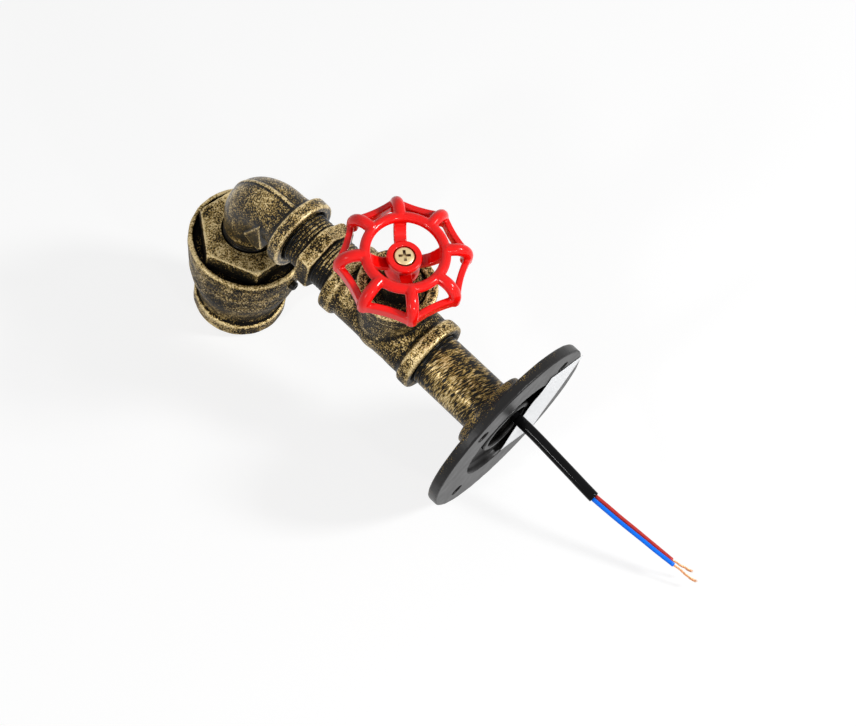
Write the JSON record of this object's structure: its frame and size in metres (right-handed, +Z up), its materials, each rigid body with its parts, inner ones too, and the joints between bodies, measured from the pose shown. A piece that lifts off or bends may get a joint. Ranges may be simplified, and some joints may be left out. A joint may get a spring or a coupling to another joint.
{
  "type": "pipe wall light",
  "caption": "Wall light made of cast pipe fittings: round wall flange, short pipe, tee with a red valve handwheel, street elbow and a bell-shaped lamp holder cup",
  "frame": {"origin": "the centre of the flange's back face, where the pipe's axis meets the wall", "axes": "+X along the wall to the right seen from the room, +Y into the wall along the pipe's axis, +Z up; the light stands out from the wall along -Y and its lamp points down along -Z"},
  "size_m": [0.0952, 0.3041, 0.1657],
  "materials": {
    "gilt_casting": "black painted casting dry-brushed with antique gold",
    "black_casting": "smooth black paint with a faint sheen",
    "brushed_pipe": "black pipe brushed with gold streaks",
    "black_thread": "black oxide",
    "red_enamel": "glossy red enamel",
    "bright_brass": "plain brass",
    "stem_steel": "turned steel",
    "packing": "soft packing",
    "holder_body": "glazed off-white",
    "cord_sheath": "glossy black sheath",
    "red_insulation": "glossy insulation",
    "blue_insulation": "glossy insulation",
    "copper": "bare copper strands"
  },
  "bodies": {
    "base": {"wall_flange": "black_casting", "wall_nipple": "brushed_pipe", "tee": "gilt_casting", "branch_plug": "black_thread", "stem_packing": "packing", "gland_nut": "gilt_casting", "hex_nipple": "gilt_casting", "pipe_cord": "cord_sheath", "supply_cord": "cord_sheath", "red_core": "red_insulation", "blue_core": "blue_insulation", "copper_strands": "copper"},
    "wheel": {"valve_stem": "stem_steel", "handwheel": "red_enamel", "wheel_screw": "bright_brass"},
    "head": {"street_elbow": "gilt_casting", "hex_bushing": "gilt_casting", "bell": "gilt_casting", "lock_screw": "black_thread", "lamp_holder": "holder_body", "screw_shell": "bright_brass", "terminals": "bright_brass", "terminal_screws": "stem_steel", "snap_ring": "stem_steel", "head_cord": "cord_sheath", "head_leads": "red_insulation"},
    "contact": {"centre_contact": "bright_brass"}
  },
  "joints": [
    {"name": "wheel_turn", "type": "hinge", "parent": "base", "child": "wheel", "pos_m": [0, -0.0765, 0], "axis": [0.075, 0, 0.9972], "continuous": true},
    {"name": "head_turn", "type": "hinge", "parent": "base", "child": "head", "pos_m": [0, -0.134, 0], "axis": [0, 1, 0], "range_deg": [-90, 90]},
    {"name": "contact_press", "type": "hinge", "parent": "head", "child": "contact", "pos_m": [0, -0.1735, -0.0709], "axis": [1, 0, 0], "range_deg": [0, 8], "stiffness_Nm_per_rad": 0.4}
  ]
}
